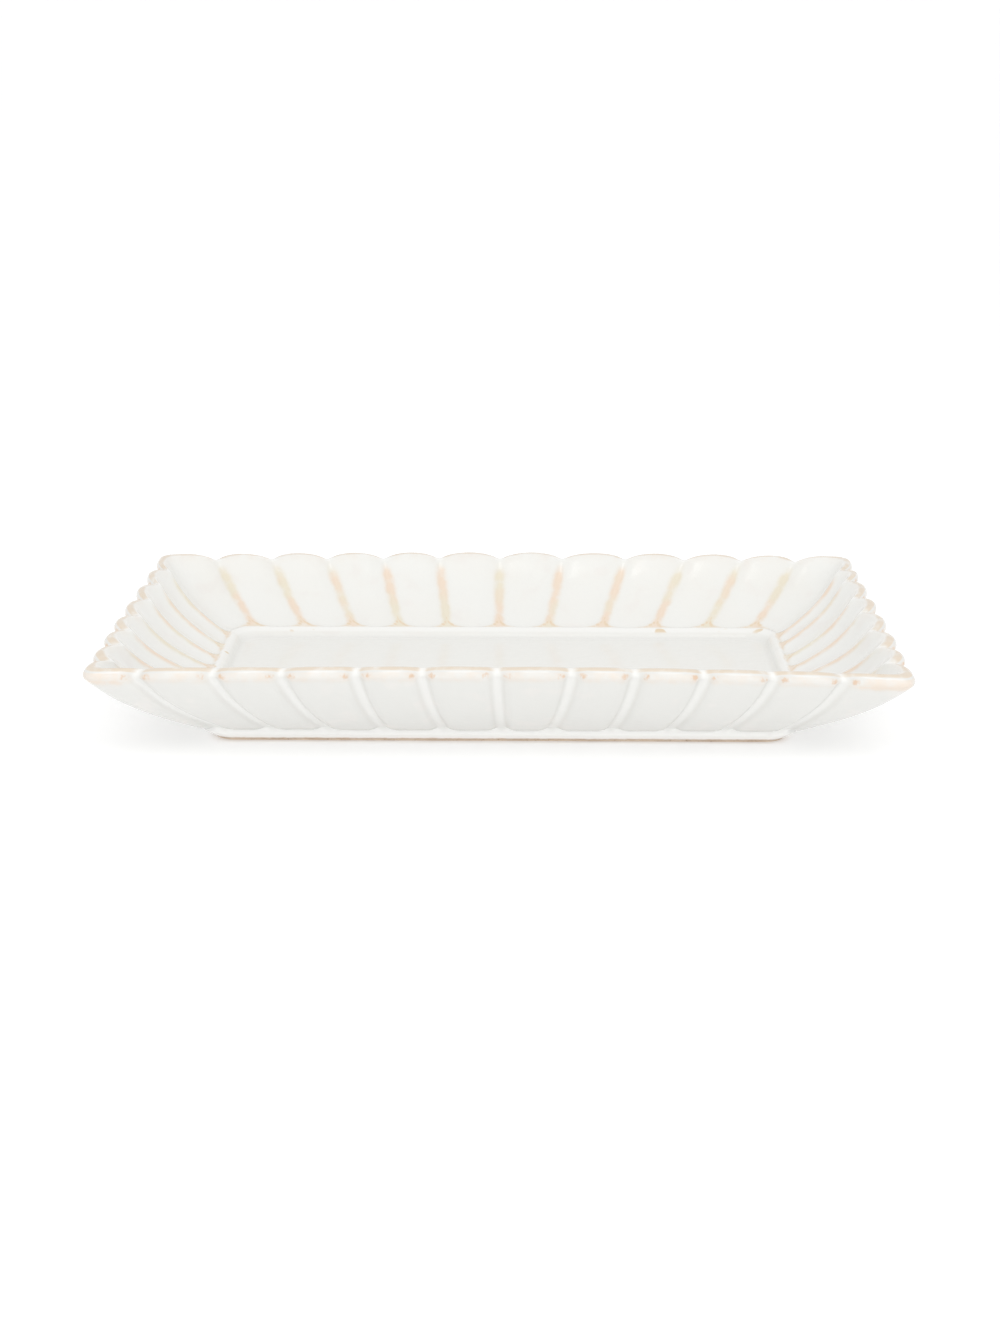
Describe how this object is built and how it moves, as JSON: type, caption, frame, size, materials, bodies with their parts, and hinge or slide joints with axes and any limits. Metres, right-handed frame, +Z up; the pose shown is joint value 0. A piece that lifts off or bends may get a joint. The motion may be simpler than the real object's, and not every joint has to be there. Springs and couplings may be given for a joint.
{
  "type": "serving platter",
  "caption": "Rectangular serving platter with flared, petal-fluted walls, a scalloped rounded lip and a flat floor on a low rectangular foot.",
  "frame": {"origin": "middle of the flat face that the foot ring stands on", "axes": "+X along the long side, +Y along the short side towards the back, +Z up out of the dish"},
  "size_m": [0.33, 0.204, 0.0444],
  "materials": {
    "fired_clay": "fine-grained fired stoneware, under the glaze",
    "bare_clay": "matte unglazed stoneware, ground flat",
    "cream_glaze": "glossy off-white glaze that thins to tan on ridges and edges",
    "base_glaze": "glossy off-white glaze, thinner than on the top"
  },
  "bodies": {
    "root": {"stoneware_body": "fired_clay", "foot_ring": "bare_clay", "glaze_coat": "cream_glaze", "base_glaze": "base_glaze"}
  },
  "joints": []
}
